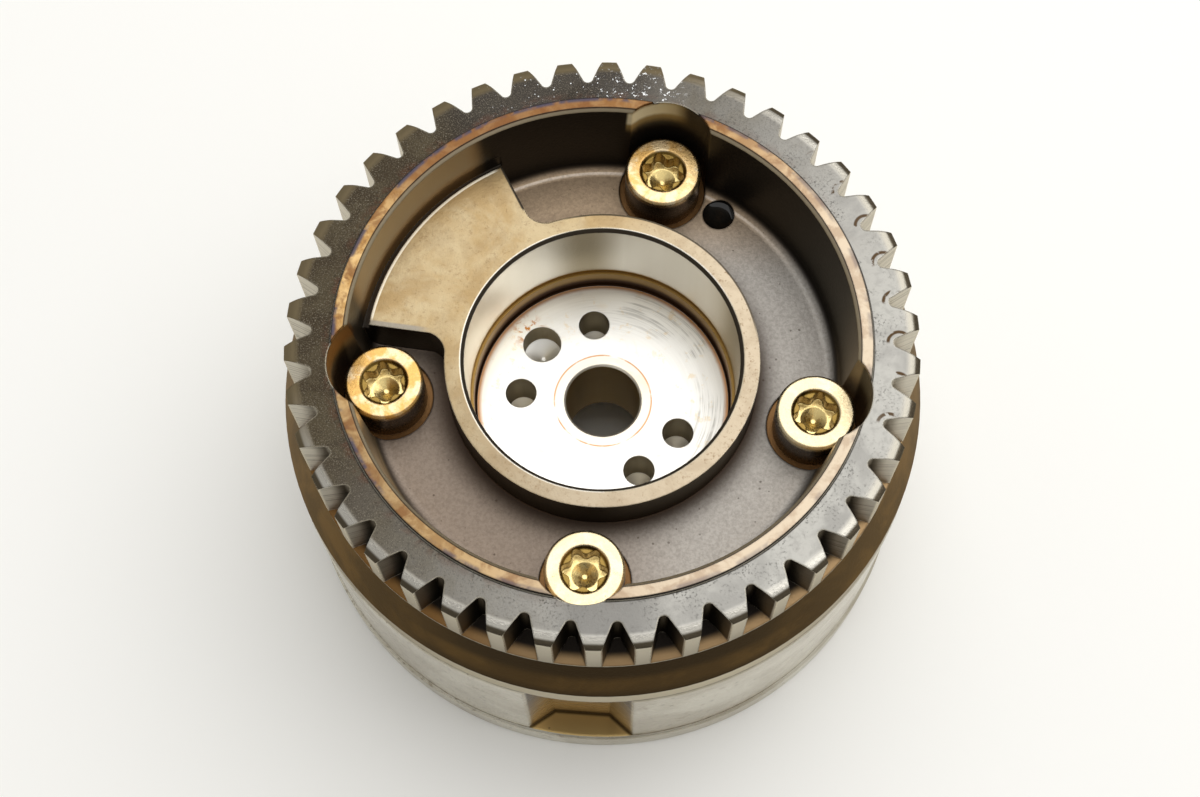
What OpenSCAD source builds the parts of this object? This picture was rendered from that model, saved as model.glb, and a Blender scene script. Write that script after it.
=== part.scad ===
// Vane-type cam phaser: a toothed chain sprocket is screwed to a drum housing and a front plate,
// and a vane rotor for the camshaft turns inside the drum through the phase range.
// Units are millimetres and degrees. The axis is Z, the front plate stands on Z = 0.
// Azimuths run clockwise from +Y, as seen from the sprocket side.

/* [Stack] */
// Thickness of the front plate
front_plate_thick = 5; // [4:0.1:8]
// How far the front plate stands out past the drum
plate_overhang = 0.4; // [0.1:0.1:1]
// Gap between the cam bolt's seat and the edge of the front plate's hole
bolt_access_gap = 3; // [1:0.5:4]
// Height of the drum between the plates
housing_height = 25; // [20:0.5:32]
// Outer radius of the drum
drum_r = 45.2; // [42:0.1:49]
// Wall of the drum outside the bore where the vane tips run
drum_wall = 7.2; // [6:0.1:8.5]
// Axial play of the rotor at each plate
rotor_play = 0.05; // [0.02:0.01:0.1]
// Radial running clearance of vane tips and shoe tips
running_clear = 0.06; // [0.02:0.01:0.1]
// Chamfer on the outer edges of the drum and the front plate
edge_chamfer = 0.4; // [0.1:0.1:1]

/* [Sprocket] */
// Thickness of the sprocket's plate under its pocket floor
plate_thick = 6.6; // [5:0.1:9]
// Step from the drum's surface in to the flange land
flange_step = 0.15; // [0.05:0.05:0.5]
// Height of the flange land
land_height = 3.6; // [2:0.1:6]
// Height of the flange cone between the land and the teeth
cone_height = 6.9; // [4:0.1:9]
// Height of the teeth above the flange cone
tooth_height = 9.9; // [8:0.1:13]
// Number of chain teeth
tooth_count = 42; // [38:1:46]
// Azimuth of the first tooth
tooth_az = 2.3; // [0:0.1:8]
// Step from the flange land in to the tooth tips
cone_step = 2.55; // [1.5:0.05:4]
// Depth of the tooth gaps
tooth_depth = 3.6; // [3:0.1:4.4]
// Radius at the bottom of each tooth gap
gap_root_r = 0.75; // [0.5:0.05:1]
// Lean of each tooth flank from the gap's middle line
flank_angle = 25.5; // [20:0.5:27]
// Rise of the sloping floor at the foot of each gap
gap_floor_rise = 0.9; // [0.4:0.1:3]
// Lip of that floor above the flange cone
gap_floor_lip = 0.2; // [0.1:0.05:0.5]
// Radius of the crown on the outer end of the tooth tops
crown_r = 4.2; // [3:0.1:6]
// How far the crown falls at the tooth tips
crown_drop = 0.65; // [0.3:0.05:1]
// Width of the toothed face between the gaps and the rim ring
face_width = 2.75; // [1.5:0.05:4]
// Width of the raised rim ring
rim_width = 2; // [1:0.1:2.8]
// Rise of the rim ring above the toothed face
rim_rise = 0.5; // [0.2:0.1:1.5]
// Chamfer on the inner edge of the rim ring
rim_chamfer = 0.5; // [0.2:0.1:1]
// How far the pocket wall leans in from the rim to the floor
wall_draft = 1.1; // [0.2:0.1:2]
// Fillet at the foot of the pocket wall
pocket_fillet = 2; // [1:0.1:2.3]
// Width of the pocket between the rim ring and the hub ring
pocket_width = 12.45; // [11:0.05:14]
// Wall of the hub ring round the nose of the camshaft
hub_wall = 2.7; // [2:0.1:4]
// Height of the hub ring above the pocket floor
hub_height = 6.8; // [4:0.1:10]
// Chamfer at the mouth of the hub ring
hub_chamfer = 0.5; // [0.2:0.1:0.8]
// Azimuth where the raised sector starts
sector_az = -80.7; // [-82:0.1:-76]
// Angle covered by the raised sector
sector_angle = 55.5; // [50:0.5:60]
// Width of the groove between the raised sector and the pocket wall
groove_width = 1; // [0.6:0.1:1.5]
// Depth of that groove
groove_depth = 1.3; // [0.6:0.1:2.5]
// Fillet between the raised sector and the hub ring
sector_fillet = 3.3; // [1:0.1:5]

/* [Clamp screws] */
// Step from the rim ring in to the circle through the screws
screw_inset = 4.05; // [3.5:0.05:4.5]
// Azimuth of the first screw
first_screw_az = 17.7; // [10:0.1:25]
// Angle between neighbouring screws
screw_step_angle = 79; // [76:0.5:82]
// Extra angle of the first step, beside the locating hole
wide_step_angle = 9.6; // [7:0.1:12]
// Thread radius of the screws
screw_r = 3; // [2.5:0.1:3.2]
// Clearance round a screw shank
screw_clear = 0.3; // [0.1:0.05:0.5]
// Clearance of the screw in its tapped hole
thread_clear = 0.03; // [0.01:0.01:0.06]
// Radius of the screw heads
head_r = 5.4; // [4.8:0.05:5.7]
// Height of the screw heads
head_height = 6.6; // [5:0.1:8]
// Chamfer round the top of the screw heads
head_chamfer = 0.35; // [0.1:0.05:0.8]
// Radius of the chamfered mouth of the six-lobe socket
socket_mouth_r = 3.4; // [3:0.05:3.8]
// Chamfer of that mouth
socket_chamfer = 0.5; // [0.3:0.05:0.8]
// Tip radius of the six-lobe socket
socket_r = 3.1; // [2.6:0.05:3.3]
// Depth of the socket
socket_depth = 3; // [2.2:0.1:4]
// Depth of the cone at the socket's bottom
socket_cone = 0.9; // [0.4:0.1:1.4]
// Gap from the end of the screw to the outside of the front plate
screw_end_gap = 1.3; // [0.5:0.1:2.5]
// Radius of the spot face round each screw head
relief_r = 6.25; // [6:0.05:6.8]
// How far the relief above a spot face opens out up to the rim
relief_draft = 0.5; // [0.2:0.05:0.8]
// Depth of the spot faces below the pocket floor
spot_depth = 0.35; // [0.2:0.05:1]
// Radius of the locating hole in the pocket floor
locating_hole_r = 2.3; // [1.8:0.1:2.8]
// Angle from the first screw to the locating hole
locating_hole_angle = 17.3; // [16:0.1:19]
// Depth of the locating hole in the drum's shoe
locating_hole_depth = 4; // [2:0.5:8]

/* [Housing] */
// Half angle of each shoe
shoe_half_angle = 13; // [12:0.5:14]
// Fillet at the foot of the shoes
shoe_fillet = 1.4; // [0.5:0.1:1.8]
// Angle from the third screw to the middle of the notch
notch_angle = -0.1; // [-2:0.1:2]
// Depth of the notch in the drum's side
notch_depth = 3.5; // [2:0.1:4.5]
// Width of the notch at its back
notch_back = 8.2; // [6:0.1:11]
// Width of the notch at the drum's surface beside the front plate
notch_front = 17.2; // [14:0.1:18]
// Width of the notch at the drum's surface beside the sprocket
notch_top = 15; // [12:0.1:16]

/* [Rotor] */
// How far the rotor's hub stands out past the hub ring
rotor_lip = 0.8; // [0.3:0.1:1.5]
// Angle that the rotor can turn from its locked end
phase_angle = 22; // [15:0.5:24]
// Angle of each narrow vane
vane_angle = 24; // [20:0.5:25]
// Angle left between the wide vane and a shoe at either end
stop_angle = 0.7; // [0.3:0.1:1.2]
// Fillet at the foot of the narrow vanes
vane_fillet = 1.1; // [0.4:0.1:1.3]
// Step from the hub ring's bore in to the recess that takes the end of the camshaft
cam_recess_step = 0.4; // [0.1:0.1:1.5]
// Depth of that recess
cam_recess_depth = 3.6; // [2:0.1:5]
// Groove between the recess wall and the cam face
cam_groove = 0.3; // [0.1:0.1:0.8]
// Radius of the cam bolt's hole
bolt_hole_r = 5.4; // [4.5:0.1:6.5]
// Chamfer at the cam end of that hole
bolt_hole_chamfer = 0.3; // [0.1:0.1:0.8]
// Radius of the seat for the cam bolt's head
bolt_seat_r = 11; // [9:0.1:12.5]
// Thickness of the rotor between the bolt seat and the cam face
bolt_grip = 15; // [12:0.5:17]
// Step from the circle through the oil ports out to the dowel hole
dowel_step = 0.6; // [0.2:0.1:1]
// Azimuth of the dowel hole
dowel_az = -44.4; // [-50:0.1:-38]
// Radius of the dowel hole
dowel_r = 2.8; // [2.4:0.05:3.2]
// Depth of the dowel hole
dowel_depth = 4.5; // [3:0.5:11]
// Radius of the oil ports
port_r = 2.25; // [1.8:0.05:2.6]
// Depth of the oil ports
port_depth = 7.5; // [5:0.5:12]
// Angle from the dowel hole to the oil ports beside it
near_port_angle = 39.2; // [32:0.1:45]
// Angle from the far side of the circle to the oil ports there
far_port_angle = 19.6; // [15:0.1:26]

/* [Seals] */
// Thickness of the seal strips
seal_thick = 3; // [2.4:0.1:3.4]
// Clearance on each side of a seal strip in its slot
seal_clear = 0.05; // [0.02:0.01:0.1]
// Depth of the vane seal slots
vane_slot_depth = 4.5; // [3.8:0.1:5]
// Depth of the shoe seal slots
shoe_slot_depth = 3; // [2.6:0.1:3.4]
// Room left under a seal strip for its leaf spring
leaf_room = 1; // [0.8:0.05:1.2]
// Thickness of the leaf springs
leaf_thick = 0.3; // [0.2:0.05:0.4]
// Gap between a leaf spring's end and the rotor's faces
leaf_end_gap = 1.5; // [1:0.1:4]
// Angle from the middle of the wide vane to its seal
wide_seal_angle = 20; // [16:0.5:24]

/* [Lock pin] */
// Step from the middle of the vane in to the circle through the lock pin
pin_inset = 1.72; // [1:0.02:2.2]
// Azimuth of the lock pin in the locked place
pin_az = -53; // [-56:0.5:-50]
// Radius of the pin's nose
pin_nose_r = 4.5; // [4:0.1:4.8]
// Radius of the pin's collar
pin_collar_r = 5.9; // [5.4:0.1:6.2]
// Length of the pin's collar
pin_collar_length = 6; // [4:0.5:7]
// Travel of the pin
pin_travel = 4; // [3:0.1:4.5]
// Wall above the pin's spring pocket
pin_crown = 3; // [2:0.1:4]
// Radius of the pin's spring pocket
pin_pocket_r = 3.5; // [3.2:0.05:3.7]
// Length of the pin's guide in the rotor
pin_guide_length = 7; // [5:0.5:9]
// How far the drawn-back pin lies below the rotor's face
pin_sink = 0.8; // [0.4:0.1:1.2]
// Outer radius of the pin's bush in the sprocket
bush_r = 6.6; // [6.2:0.1:7]
// Clearance between the pin and its bush
bush_clear = 0.2; // [0.1:0.05:0.4]
// Depth of the bush in the sprocket
bush_depth = 6; // [5:0.5:8]
// Clearance of a pressed piece in its hole
press_clear = 0.02; // [0.01:0.005:0.04]
// Thickness of the spring seat
seat_thick = 2.4; // [1.6:0.1:3]
// Radius of the vent through the spring seat
seat_vent_r = 1.2; // [0.8:0.1:1.5]
// Wire radius of the pin's spring
coil_wire_r = 0.4; // [0.3:0.05:0.45]
// Gap between the spring and the pin's pocket
coil_gap = 0.3; // [0.2:0.05:0.5]
// Turns of the pin's spring
coil_turns = 6; // [5:0.5:7]

/* [Hidden] */
$fn = 96;
cut = 1;
housing_z = front_plate_thick;
sprocket_z = housing_z + housing_height;
floor_z = sprocket_z + plate_thick;
plate_cut = plate_thick + cut * 2;
hub_top = floor_z + hub_height;
land_top = sprocket_z + land_height;
cone_top = land_top + cone_height;
face_z = cone_top + tooth_height;
rim_z = face_z + rim_rise;
wall_height = rim_z - rim_chamfer - floor_z;
wall_lean = atan(wall_draft / wall_height);
front_plate_r = drum_r + plate_overhang;
front_plate_bore_r = bolt_seat_r + bolt_access_gap;
drum_bore_r = drum_r - drum_wall;
flange_r = drum_r - flange_step;
tip_r = flange_r - cone_step;
root_r = tip_r - tooth_depth;
rim_outer_r = root_r - face_width;
rim_inner_r = rim_outer_r - rim_width;
wall_foot_r = rim_inner_r - wall_draft;
hub_r = rim_inner_r - pocket_width;
sector_wall_r = wall_foot_r + hub_height * tan(wall_lean);
hub_bore_r = hub_r - hub_wall;
rotor_hub_r = hub_r + rotor_lip;
cam_recess_r = hub_bore_r - cam_recess_step;
port_circle_r = (bolt_hole_r + cam_recess_r) / 2;
dowel_circle_r = port_circle_r + dowel_step;
screw_circle_r = rim_inner_r - screw_inset;
rotor_z = housing_z + rotor_play;
rotor_top = sprocket_z - rotor_play;
rotor_height = rotor_top - rotor_z;
rotor_mid = (rotor_z + rotor_top) / 2;
cam_face_z = rotor_top - cam_recess_depth;
bolt_seat_z = cam_face_z - bolt_grip;
vane_tip_r = drum_bore_r - running_clear;
shoe_tip_r = rotor_hub_r + running_clear;
pin_circle_r = (rotor_hub_r + vane_tip_r) / 2 - pin_inset;
head_seat_z = floor_z - spot_depth;
screw_az = [
    first_screw_az,
    first_screw_az + screw_step_angle + wide_step_angle,
    first_screw_az + screw_step_angle * 2 + wide_step_angle,
    first_screw_az + screw_step_angle * 3 + wide_step_angle
];
locating_az = first_screw_az + locating_hole_angle;
notch_az = screw_az[2] + notch_angle;
chamber_angle = screw_step_angle - shoe_half_angle * 2;
vane_gap = (chamber_angle - vane_angle - phase_angle) / 2;
wide_chamber = 360 - screw_step_angle * 3 - wide_step_angle - shoe_half_angle * 2;
wide_vane = wide_chamber - phase_angle - stop_angle * 2;
wide_vane_start = screw_az[3] + shoe_half_angle + stop_angle;
vane_start = [
    screw_az[1] - shoe_half_angle - chamber_angle + vane_gap,
    screw_az[1] + shoe_half_angle + vane_gap,
    screw_az[2] + shoe_half_angle + vane_gap,
    wide_vane_start
];
vane_width = [vane_angle, vane_angle, vane_angle, wide_vane];
vane_seal_az = [
    vane_start[0] + vane_angle / 2,
    vane_start[1] + vane_angle / 2,
    vane_start[2] + vane_angle / 2,
    wide_vane_start + wide_vane / 2 + wide_seal_angle
];
leaf_span = rotor_height - leaf_end_gap * 2;
pin_guide_z = rotor_top - pin_guide_length;
pin_top = rotor_top - pin_sink;
pin_collar_z = pin_guide_z - pin_travel - pin_sink;
pin_base = pin_collar_z - pin_collar_length;
pin_bore_r = pin_collar_r + running_clear;
bush_bore_r = pin_nose_r + bush_clear;
seat_top = rotor_z + seat_thick;
coil_base = seat_top + press_clear;
coil_top = pin_top - pin_crown - press_clear;
coil_r = pin_pocket_r - coil_gap - coil_wire_r;

// A point at radius r and azimuth az
function at(r, az) = [r * sin(az), r * cos(az)];

// Turns what lies along +Y to azimuth az
module to_az(az) {
    rotate(-az) children();
}

module ring(outer, inner) {
    difference() {
        circle(outer);
        circle(inner);
    }
}

// Wedge from the axis that reaches past radius r
module wedge(start, angle, r) {
    far = r / cos(angle / 4) + cut;
    polygon([
        [0, 0], at(far, start), at(far, start + angle / 2), at(far, start + angle)
    ]);
}

module ring_wedge(start, angle, outer, inner) {
    intersection() {
        ring(outer, inner);
        wedge(start, angle, outer);
    }
}

// Fillet between a side at azimuth az and a circle of radius r; turn is the way the fillet runs from
// the side, and out is 1 outside the circle or -1 inside it. It bites a little into both, so that the
// faces cross.
module side_fillet(az, r, fillet, turn, out) {
    bite = fillet / 50;
    side_az = az - turn * asin(bite / r);
    foot_r = r - out * fillet / 2;
    middle_r = r + out * (fillet - bite);
    sweep = asin(fillet / middle_r);
    side_r = sqrt(middle_r * middle_r - fillet * fillet);
    middle = at(middle_r, side_az + turn * sweep);
    corners = [
        at(side_r, side_az), at(side_r, side_az - turn), at(foot_r, side_az - turn),
        at(foot_r, side_az + turn * sweep), middle
    ];
    difference() {
        polygon(turn * out > 0 ? corners : [for (i = [4 : -1 : 0]) corners[i]]);
        translate(middle) circle(fillet);
    }
}

// Fillet between the leaning pocket wall and the pocket floor, in the half section
module wall_fillet() {
    bite = cut / 4;
    middle_r = wall_foot_r + pocket_fillet * (tan(wall_lean) - 1 / cos(wall_lean));
    middle_z = floor_z + pocket_fillet;
    wall_r = middle_r + pocket_fillet * cos(wall_lean);
    wall_z = middle_z - pocket_fillet * sin(wall_lean);
    difference() {
        polygon([
            [middle_r, floor_z - bite], [wall_foot_r + bite, floor_z - bite], [wall_r + bite, wall_z],
            [wall_r, wall_z], [middle_r, middle_z]
        ]);
        translate([middle_r, middle_z]) circle(pocket_fillet);
    }
}

module chamfered_disc(r, height, chamfer) {
    rotate_extrude() polygon([
        [0, 0], [r - chamfer, 0], [r, chamfer], [r, height - chamfer], [r - chamfer, height], [0, height]
    ]);
}

// Outline of one tooth gap along +Y: a round root and two straight flanks that just cross it
module tooth_gap() {
    middle = root_r + gap_root_r;
    grip = gap_root_r * 0.98;
    side_x = grip * cos(flank_angle);
    side_y = middle - grip * sin(flank_angle);
    mouth_y = tip_r + cut;
    mouth_x = side_x + (mouth_y - side_y) * tan(flank_angle);
    translate([0, middle]) circle(gap_root_r, $fn = 24);
    polygon([[-side_x, side_y], [side_x, side_y], [mouth_x, mouth_y], [-mouth_x, mouth_y]]);
}

module tooth_gaps() {
    difference() {
        translate([0, 0, cone_top]) linear_extrude(tooth_height + rim_rise + cut) {
            for (i = [0 : tooth_count - 1]) to_az(tooth_az + (i + 0.5) * 360 / tooth_count) tooth_gap();
        }
        translate([0, 0, cone_top + gap_floor_lip]) rotate_extrude() polygon([
            [root_r - cut, -cut * 2], [root_r - cut, gap_floor_rise * (1 + cut / tooth_depth)],
            [tip_r + cut, -gap_floor_rise * cut / tooth_depth], [tip_r + cut, -cut * 2]
        ]);
    }
}

// Half section of the sprocket's turned shape
module sprocket_profile() {
    crown_width = sqrt(crown_r * crown_r - pow(crown_r - crown_drop, 2));
    bite = crown_drop / 20;
    difference() {
        polygon([
            [hub_bore_r, sprocket_z], [flange_r, sprocket_z], [flange_r, land_top], [tip_r, cone_top],
            [tip_r, face_z], [rim_outer_r, face_z], [rim_outer_r, rim_z], [rim_inner_r + rim_chamfer, rim_z],
            [rim_inner_r, rim_z - rim_chamfer], [wall_foot_r, floor_z], [hub_r, floor_z],
            [hub_r, hub_top], [hub_bore_r + hub_chamfer, hub_top], [hub_bore_r, hub_top - hub_chamfer]
        ]);
        translate([tip_r - crown_width, face_z - crown_r + bite]) difference() {
            square(crown_r + cut);
            circle(crown_r, $fn = 360);
        }
    }
    wall_fillet();
}

// Raised sector over the lock pin's bush, blended into the hub ring
module sector_plan() {
    mid_r = (hub_r + hub_bore_r) / 2;
    ring_wedge(sector_az, sector_angle, rim_inner_r, mid_r);
    side_fillet(sector_az, hub_r, sector_fillet, -1, 1);
    side_fillet(sector_az + sector_angle, hub_r, sector_fillet, 1, 1);
}

// Groove between the raised sector and the leaning wall
module sector_groove() {
    side = 0.5;
    translate([0, 0, hub_top - groove_depth]) linear_extrude(groove_depth + cut) {
        ring_wedge(
            sector_az - side, sector_angle + side * 2, sector_wall_r + groove_width / 10,
            sector_wall_r - groove_width
        );
    }
}

// Room for a screw head and its driver, from the spot face up past the rim
module relief() {
    height = rim_z - head_seat_z + cut;
    opening = relief_draft * height / (height - cut);
    cylinder(r1 = relief_r, r2 = relief_r + opening, h = height);
}

module sprocket() {
    color([0.36, 0.33, 0.30]) difference() {
        union() {
            rotate_extrude() sprocket_profile();
            translate([0, 0, sprocket_z + plate_thick / 2]) {
                linear_extrude(hub_height + plate_thick / 2) sector_plan();
            }
        }
        tooth_gaps();
        sector_groove();
        for (az = screw_az) translate(at(screw_circle_r, az)) {
            translate([0, 0, head_seat_z]) relief();
            translate([0, 0, sprocket_z - cut]) cylinder(r = screw_r + screw_clear, h = plate_cut);
        }
        translate(at(screw_circle_r, locating_az)) translate([0, 0, sprocket_z - cut]) {
            cylinder(r = locating_hole_r, h = plate_cut);
        }
        translate(at(pin_circle_r, pin_az)) translate([0, 0, sprocket_z - cut]) {
            cylinder(r = bush_r + press_clear, h = bush_depth + cut);
        }
    }
}

// Plan of the notch in the drum's side, along +Y
module notch_plan() {
    back_y = drum_r - notch_depth;
    lean = (notch_front - notch_back) / 2 / notch_depth;
    mouth = notch_front / 2 + lean * cut;
    polygon([
        [-notch_back / 2, back_y], [notch_back / 2, back_y], [mouth, drum_r + cut], [-mouth, drum_r + cut]
    ]);
}

// The notch along +Y, with a mouth that widens towards the front plate
module notch() {
    lean = (notch_front - notch_top) / 2 / housing_height;
    low = notch_front / 2 + lean * cut;
    high = notch_top / 2 - lean * cut;
    intersection() {
        translate([0, 0, housing_z - cut]) linear_extrude(housing_height + cut * 2) notch_plan();
        translate([0, drum_r + cut * 2, 0]) rotate([90, 0, 0]) linear_extrude(notch_depth + cut * 3) polygon([
            [-low, housing_z - cut], [low, housing_z - cut],
            [high, sprocket_z + cut], [-high, sprocket_z + cut]
        ]);
    }
}

module shoes() {
    foot_r = drum_bore_r + cut;
    for (az = screw_az) ring_wedge(az - shoe_half_angle, shoe_half_angle * 2, foot_r, shoe_tip_r);
    ring_wedge(screw_az[0], shoe_half_angle + wide_step_angle, foot_r, shoe_tip_r);
    side_fillet(screw_az[0] + shoe_half_angle + wide_step_angle, drum_bore_r, shoe_fillet, 1, -1);
    for (i = [1, 2]) {
        side_fillet(screw_az[i] + shoe_half_angle, drum_bore_r, shoe_fillet, 1, -1);
        side_fillet(screw_az[i] - shoe_half_angle, drum_bore_r, shoe_fillet, -1, -1);
    }
    side_fillet(screw_az[3] - shoe_half_angle, drum_bore_r, shoe_fillet, -1, -1);
}

// Slot for a seal along +Y, from radius low to radius high
module seal_slot(low, high) {
    half = seal_thick / 2 + seal_clear;
    translate([-half, low]) square([half * 2, high - low]);
}

module housing_plan() {
    difference() {
        union() {
            ring(drum_r + cut, drum_bore_r);
            shoes();
        }
        for (az = screw_az) {
            translate(at(screw_circle_r, az)) circle(screw_r + screw_clear);
            to_az(az) seal_slot(shoe_tip_r - cut, shoe_tip_r + shoe_slot_depth);
        }
    }
}

module housing() {
    color([0.78, 0.76, 0.72]) difference() {
        intersection() {
            translate([0, 0, housing_z]) chamfered_disc(drum_r, housing_height, edge_chamfer);
            translate([0, 0, housing_z - cut]) linear_extrude(housing_height + cut * 2) housing_plan();
        }
        to_az(notch_az) notch();
        translate(at(screw_circle_r, locating_az)) {
            translate([0, 0, sprocket_z - locating_hole_depth]) {
                cylinder(r = locating_hole_r, h = locating_hole_depth + cut);
            }
        }
    }
}

module front_plate() {
    color([0.74, 0.72, 0.69]) difference() {
        chamfered_disc(front_plate_r, front_plate_thick, edge_chamfer);
        translate([0, 0, -cut]) cylinder(r = front_plate_bore_r, h = front_plate_thick + cut * 2);
        for (az = screw_az) translate(at(screw_circle_r, az)) {
            translate([0, 0, -cut]) cylinder(r = screw_r + thread_clear, h = front_plate_thick + cut * 2);
        }
    }
}

// Six-lobe outline: round tips on a core, with hollows between the tips
module six_lobe(r) {
    lobe = r * 0.22;
    hollow = r * 0.24;
    difference() {
        union() {
            circle(r * 0.86);
            for (a = [0 : 60 : 300]) rotate(a) translate([r - lobe, 0]) circle(lobe, $fn = 24);
        }
        for (a = [30 : 60 : 330]) rotate(a) translate([r * 0.96, 0]) circle(hollow, $fn = 24);
    }
}

// One socket-head screw, with its seat under the head at Z = 0
module clamp_screw(length) {
    difference() {
        union() {
            rotate_extrude() polygon([
                [0, 0], [head_r, 0], [head_r, head_height - head_chamfer],
                [head_r - head_chamfer, head_height], [0, head_height]
            ]);
            translate([0, 0, -length]) chamfered_disc(screw_r, length + cut, screw_r / 6);
        }
        translate([0, 0, head_height - socket_depth]) linear_extrude(socket_depth + cut) six_lobe(socket_r);
        translate([0, 0, head_height - socket_depth - socket_cone]) {
            cylinder(r1 = socket_r * 0.1, r2 = socket_r * 0.7, h = socket_cone * 1.2);
        }
        translate([0, 0, head_height - socket_chamfer]) {
            cylinder(r1 = socket_mouth_r - socket_chamfer, r2 = socket_mouth_r, h = socket_chamfer);
        }
        translate([0, 0, head_height]) cylinder(r = socket_mouth_r, h = cut);
    }
}

module clamp_screws() {
    color([0.80, 0.66, 0.36]) for (az = screw_az) {
        translate(at(screw_circle_r, az)) translate([0, 0, head_seat_z]) to_az(az) {
            clamp_screw(head_seat_z - screw_end_gap);
        }
    }
}

module rotor_plan() {
    difference() {
        union() {
            circle(rotor_hub_r);
            for (i = [0 : 3]) ring_wedge(vane_start[i], vane_width[i], vane_tip_r, rotor_hub_r - cut);
            for (i = [0 : 2]) {
                side_fillet(vane_start[i], rotor_hub_r, vane_fillet, -1, 1);
                side_fillet(vane_start[i] + vane_angle, rotor_hub_r, vane_fillet, 1, 1);
            }
        }
        for (az = vane_seal_az) to_az(az) seal_slot(vane_tip_r - vane_slot_depth, vane_tip_r + cut);
    }
}

// Blind drilled hole with a cone at its end, its mouth on the cam face
module drilled_hole(r, depth) {
    translate([0, 0, -depth]) cylinder(r = r, h = depth + cut);
    translate([0, 0, -depth - r * 0.5]) cylinder(r1 = r * 0.1, r2 = r, h = r * 0.5);
}

module vane_rotor() {
    color([0.72, 0.71, 0.70]) difference() {
        translate([0, 0, rotor_z]) linear_extrude(rotor_height) rotor_plan();
        translate([0, 0, cam_face_z]) {
            cylinder(r1 = cam_recess_r - cam_groove, r2 = cam_recess_r, h = cam_groove);
            translate([0, 0, cam_groove]) cylinder(r = cam_recess_r, h = cam_recess_depth + cut);
        }
        translate([0, 0, bolt_seat_z - cut]) cylinder(r = bolt_hole_r, h = bolt_grip + cut * 2);
        translate([0, 0, cam_face_z - bolt_hole_chamfer]) {
            cylinder(r1 = bolt_hole_r, r2 = bolt_hole_r + bolt_hole_chamfer, h = bolt_hole_chamfer);
        }
        translate([0, 0, rotor_z - cut]) cylinder(r = bolt_seat_r, h = bolt_seat_z - rotor_z + cut);
        translate(at(dowel_circle_r, dowel_az)) {
            translate([0, 0, cam_face_z]) drilled_hole(dowel_r, dowel_depth);
        }
        for (side = [-1, 1]) {
            translate(at(port_circle_r, dowel_az + side * near_port_angle)) {
                translate([0, 0, cam_face_z]) drilled_hole(port_r, port_depth);
            }
            translate(at(port_circle_r, dowel_az + 180 + side * far_port_angle)) {
                translate([0, 0, cam_face_z]) drilled_hole(port_r, port_depth);
            }
        }
        translate(at(pin_circle_r, pin_az)) {
            translate([0, 0, rotor_z - cut]) cylinder(r = pin_bore_r, h = pin_guide_z - rotor_z + cut);
            translate([0, 0, pin_guide_z - cut]) {
                cylinder(r = pin_nose_r + running_clear, h = pin_guide_length + cut * 2);
            }
        }
    }
}

// Seal strip in a vane tip, its outer face on the drum's bore
module vane_seal(i) {
    low = vane_tip_r - vane_slot_depth + leaf_room;
    color([0.20, 0.17, 0.14]) translate([0, 0, rotor_z]) linear_extrude(rotor_height) intersection() {
        circle(drum_bore_r - running_clear / 2);
        to_az(vane_seal_az[i]) translate([-seal_thick / 2, low]) square([seal_thick, vane_slot_depth]);
    }
}

// Seal strip in a shoe tip, its inner face on the rotor's hub
module shoe_seal(i) {
    low = rotor_hub_r / 2;
    high = shoe_tip_r + shoe_slot_depth - leaf_room;
    color([0.20, 0.17, 0.14]) translate([0, 0, rotor_z]) linear_extrude(rotor_height) difference() {
        to_az(screw_az[i]) translate([-seal_thick / 2, low]) square([seal_thick, high - low]);
        circle(rotor_hub_r + running_clear / 2);
    }
}

// Bowed leaf spring along Z, its ends on radius low and its back towards +Y
module leaf_spring(low) {
    rise = leaf_room - press_clear * 2;
    bow_r = (leaf_span * leaf_span / 4 + rise * rise) / (rise * 2);
    width = seal_thick - seal_clear * 4;
    translate([-width / 2, low + press_clear, rotor_mid]) rotate([90, 0, 90]) linear_extrude(width) {
        intersection() {
            translate([rise - bow_r, 0]) difference() {
                circle(bow_r, $fn = 1440);
                circle(bow_r - leaf_thick, $fn = 1440);
            }
            translate([0, -leaf_span / 2]) square([rise + cut, leaf_span]);
        }
    }
}

module vane_leaf(i) {
    color([0.55, 0.56, 0.58]) to_az(vane_seal_az[i]) leaf_spring(vane_tip_r - vane_slot_depth);
}

module shoe_leaf(i) {
    color([0.55, 0.56, 0.58]) to_az(screw_az[i]) leaf_spring(shoe_tip_r + shoe_slot_depth - leaf_room);
}

// Hollow lock pin in its drawn-back place
module lock_pin() {
    tip_chamfer = pin_nose_r / 8;
    color([0.50, 0.50, 0.52]) translate(at(pin_circle_r, pin_az)) rotate_extrude() polygon([
        [pin_pocket_r, pin_base], [pin_collar_r, pin_base], [pin_collar_r, pin_collar_z],
        [pin_nose_r, pin_collar_z], [pin_nose_r, pin_top - tip_chamfer], [pin_nose_r - tip_chamfer, pin_top],
        [0, pin_top], [0, pin_top - pin_crown], [pin_pocket_r, pin_top - pin_crown]
    ]);
}

// Seat that closes the pin's bore and carries its spring
module lock_pin_seat() {
    color([0.45, 0.45, 0.46]) translate(at(pin_circle_r, pin_az)) translate([0, 0, rotor_z]) difference() {
        cylinder(r = pin_bore_r - press_clear, h = seat_thick);
        translate([0, 0, -cut]) cylinder(r = seat_vent_r, h = seat_thick + cut * 2);
    }
}

module lock_pin_bush() {
    color([0.60, 0.58, 0.54]) translate(at(pin_circle_r, pin_az)) translate([0, 0, sprocket_z]) difference() {
        cylinder(r = bush_r, h = bush_depth - press_clear);
        translate([0, 0, -cut]) cylinder(r = bush_bore_r, h = bush_depth + cut * 2);
    }
}

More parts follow.
